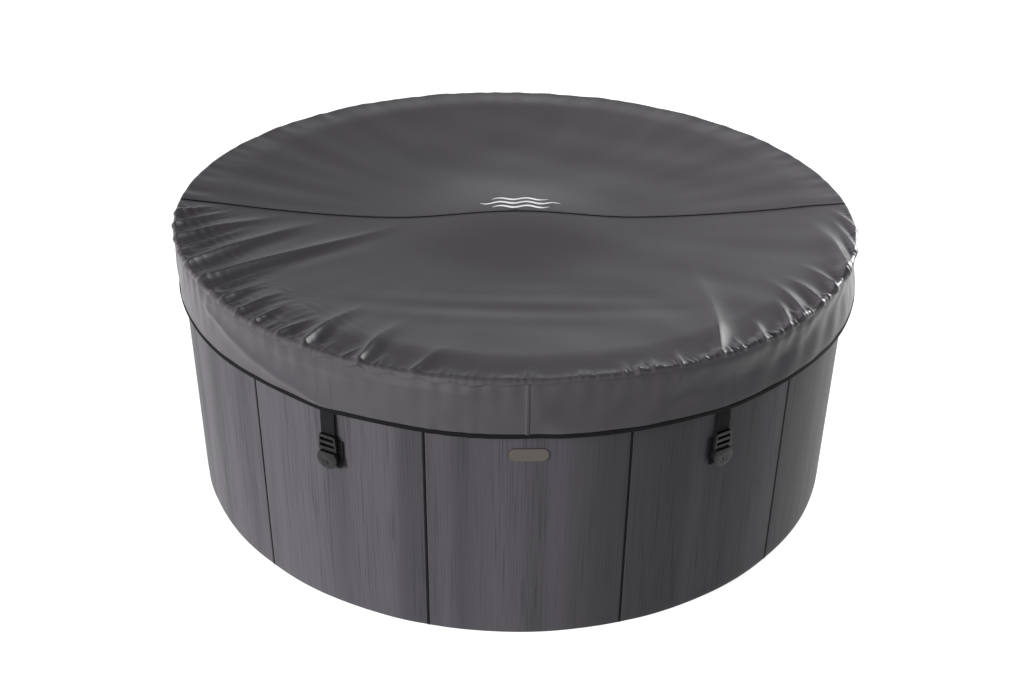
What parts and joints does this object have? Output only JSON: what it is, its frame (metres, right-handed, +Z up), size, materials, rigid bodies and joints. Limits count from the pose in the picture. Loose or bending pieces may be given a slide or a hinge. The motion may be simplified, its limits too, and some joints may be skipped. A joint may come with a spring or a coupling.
{
  "type": "inflatable hot tub",
  "caption": "Round inflatable hot tub with grained panel wall, folding padded cover held by strap buckles, and a heater, filter and bubble unit inside its wall.",
  "frame": {"origin": "centre of the whole object's box on the floor, directly under the middle of the tub", "axes": "+Z up, -Y towards the front panel with the badge, +Y towards the control unit, +X to the right seen from the front"},
  "size_m": [1.827, 1.8266, 0.7301],
  "materials": {
    "base_sheet": "matt coated base sheet",
    "floor_foam": "closed-cell foam",
    "liner": "smooth light grey coated sheet",
    "wall_skin": "matt charcoal coated sheet with a fine upright grain",
    "web_scrim": "reinforced mesh web",
    "badge_metal": "satin plain plate",
    "cover_leather": "semi-gloss charcoal coated leather cloth",
    "binding": "black folded binding",
    "bladder_vinyl": "clear grey vinyl",
    "white_plastic": "light grey moulded plastic",
    "webbing": "black woven webbing",
    "buckle_plastic": "moulded charcoal plastic",
    "lock_plastic": "black moulded plastic",
    "steel": "stainless steel",
    "unit_plastic": "dark moulded plastic",
    "display_glass": "dark tinted window",
    "circuit_board": "green board",
    "rotor_plastic": "ochre moulded plastic",
    "hose_rubber": "hose rubber",
    "filter_paper": "pleated filter paper"
  },
  "bodies": {
    "tub": {"base_sheet": "base_sheet", "floor_pad": "floor_foam", "inner_liner": "liner", "outer_wall": "wall_skin", "rim_top": "wall_skin", "wall_webs": "web_scrim", "bubble_ring": "liner", "badge_plate": "badge_metal", "buckle_receivers": "buckle_plastic", "receiver_tabs": "webbing", "tab_rivets": "steel", "unit_casing": "unit_plastic", "unit_panel": "wall_skin", "panel_screws": "steel", "console_housing": "unit_plastic", "display_lens": "display_glass", "control_board": "circuit_board", "pump_housing": "unit_plastic", "heater_tube": "steel", "blower_housing": "unit_plastic", "water_pipes": "hose_rubber", "air_hose": "hose_rubber", "wall_fittings": "white_plastic", "valve_base": "buckle_plastic", "drain_pipe": "buckle_plastic", "cable_gland": "hose_rubber"},
    "cover_rear_half": {"cover_rear": "cover_leather", "skirt_rear": "cover_leather", "hem_rear": "binding", "seam_welt": "binding", "bladder_rear": "bladder_vinyl", "straps_rear": "webbing"},
    "cover_front_half": {"cover_front": "cover_leather", "skirt_front": "cover_leather", "hem_front": "binding", "bladder_front": "bladder_vinyl", "straps_front": "webbing"},
    "front_bladder_plug": {"bladder_plug_front": "white_plastic"},
    "rear_bladder_plug": {"bladder_plug_rear": "white_plastic"},
    "buckle_front_left": {"buckle_front_left": "buckle_plastic"},
    "lock_front_left": {"lock_front_left": "lock_plastic"},
    "buckle_front_right": {"buckle_front_right": "buckle_plastic"},
    "lock_front_right": {"lock_front_right": "lock_plastic"},
    "buckle_rear_left": {"buckle_rear_left": "buckle_plastic"},
    "lock_rear_left": {"lock_rear_left": "lock_plastic"},
    "buckle_rear_right": {"buckle_rear_right": "buckle_plastic"},
    "lock_rear_right": {"lock_rear_right": "lock_plastic"},
    "button_heat": {"button_heat": "white_plastic"},
    "button_filter": {"button_filter": "white_plastic"},
    "button_bubble": {"button_bubble": "white_plastic"},
    "button_up": {"button_up": "white_plastic"},
    "button_down": {"button_down": "white_plastic"},
    "pump_rotor": {"pump_rotor": "rotor_plastic"},
    "blower_fan": {"blower_fan": "rotor_plastic"},
    "filter": {"filter_cap": "white_plastic", "filter_cartridge": "filter_paper"},
    "valve_stem": {"valve_stem": "rotor_plastic"},
    "valve_cap": {"valve_cap": "buckle_plastic"},
    "drain_cap": {"drain_cap": "buckle_plastic"},
    "drain_plug": {"drain_plug": "buckle_plastic"}
  },
  "joints": [
    {"name": "cover_lift", "type": "slide", "parent": "tub", "child": "cover_rear_half", "axis": [0, 0, 1], "range_m": [0, 0.3]},
    {"name": "cover_fold", "type": "hinge", "parent": "cover_rear_half", "child": "cover_front_half", "pos_m": [0, 0, 0.7315], "axis": [-1, 0, 0], "range_deg": [0, 170]},
    {"name": "front_bladder_plug_pull", "type": "slide", "parent": "cover_front_half", "child": "front_bladder_plug", "axis": [0, 0, -1], "range_m": [0, 0.03]},
    {"name": "rear_bladder_plug_pull", "type": "slide", "parent": "cover_rear_half", "child": "rear_bladder_plug", "axis": [0, 0, -1], "range_m": [0, 0.03]},
    {"name": "buckle_front_left_slide", "type": "slide", "parent": "cover_front_half", "child": "buckle_front_left", "axis": [0, 0, 1], "range_m": [0, 0.025]},
    {"name": "lock_front_left_turn", "type": "hinge", "parent": "tub", "child": "lock_front_left", "pos_m": [-0.456, -0.78982, 0.433], "axis": [-0.5, -0.866, 0], "range_deg": [0, 90]},
    {"name": "buckle_front_right_slide", "type": "slide", "parent": "cover_front_half", "child": "buckle_front_right", "axis": [0, 0, 1], "range_m": [0, 0.025]},
    {"name": "lock_front_right_turn", "type": "hinge", "parent": "tub", "child": "lock_front_right", "pos_m": [0.456, -0.78982, 0.433], "axis": [0.5, -0.866, 0], "range_deg": [0, 90]},
    {"name": "buckle_rear_left_slide", "type": "slide", "parent": "cover_rear_half", "child": "buckle_rear_left", "axis": [0, 0, 1], "range_m": [0, 0.025]},
    {"name": "lock_rear_left_turn", "type": "hinge", "parent": "tub", "child": "lock_rear_left", "pos_m": [-0.456, 0.78982, 0.433], "axis": [-0.5, 0.866, 0], "range_deg": [0, 90]},
    {"name": "buckle_rear_right_slide", "type": "slide", "parent": "cover_rear_half", "child": "buckle_rear_right", "axis": [0, 0, 1], "range_m": [0, 0.025]},
    {"name": "lock_rear_right_turn", "type": "hinge", "parent": "tub", "child": "lock_rear_right", "pos_m": [0.456, 0.78982, 0.433], "axis": [0.5, 0.866, 0], "range_deg": [0, 90]},
    {"name": "button_heat_press", "type": "slide", "parent": "tub", "child": "button_heat", "axis": [0, -1, 0], "range_m": [0, 0.0012], "stiffness_N_per_m": 300},
    {"name": "button_filter_press", "type": "slide", "parent": "tub", "child": "button_filter", "axis": [0, -1, 0], "range_m": [0, 0.0012], "stiffness_N_per_m": 300},
    {"name": "button_bubble_press", "type": "slide", "parent": "tub", "child": "button_bubble", "axis": [0, -1, 0], "range_m": [0, 0.0012], "stiffness_N_per_m": 300},
    {"name": "button_up_press", "type": "slide", "parent": "tub", "child": "button_up", "axis": [0, -1, 0], "range_m": [0, 0.0012], "stiffness_N_per_m": 300},
    {"name": "button_down_press", "type": "slide", "parent": "tub", "child": "button_down", "axis": [0, -1, 0], "range_m": [0, 0.0012], "stiffness_N_per_m": 300},
    {"name": "pump_rotor_spin", "type": "hinge", "parent": "tub", "child": "pump_rotor", "pos_m": [0, 0.78, 0.15], "axis": [0, 1, 0], "continuous": true},
    {"name": "blower_fan_spin", "type": "hinge", "parent": "tub", "child": "blower_fan", "pos_m": [-0.12973, 0.77522, 0.152], "axis": [-0.165, 0.9863, 0], "continuous": true},
    {"name": "filter_pull", "type": "slide", "parent": "tub", "child": "filter", "axis": [0, -1, 0], "range_m": [0, 0.15]},
    {"name": "valve_cap_pull", "type": "slide", "parent": "tub", "child": "valve_cap", "axis": [-0.6088, 0.7934, 0], "range_m": [0, 0.03]},
    {"name": "valve_stem_push", "type": "slide", "parent": "tub", "child": "valve_stem", "axis": [0.6088, -0.7934, 0], "range_m": [0, 0.004], "stiffness_N_per_m": 300},
    {"name": "drain_cap_pull", "type": "slide", "parent": "tub", "child": "drain_cap", "axis": [0.9239, 0.3827, 0], "range_m": [0, 0.035]},
    {"name": "drain_plug_pull", "type": "slide", "parent": "tub", "child": "drain_plug", "axis": [-0.9239, -0.3827, 0], "range_m": [0, 0.035]}
  ]
}
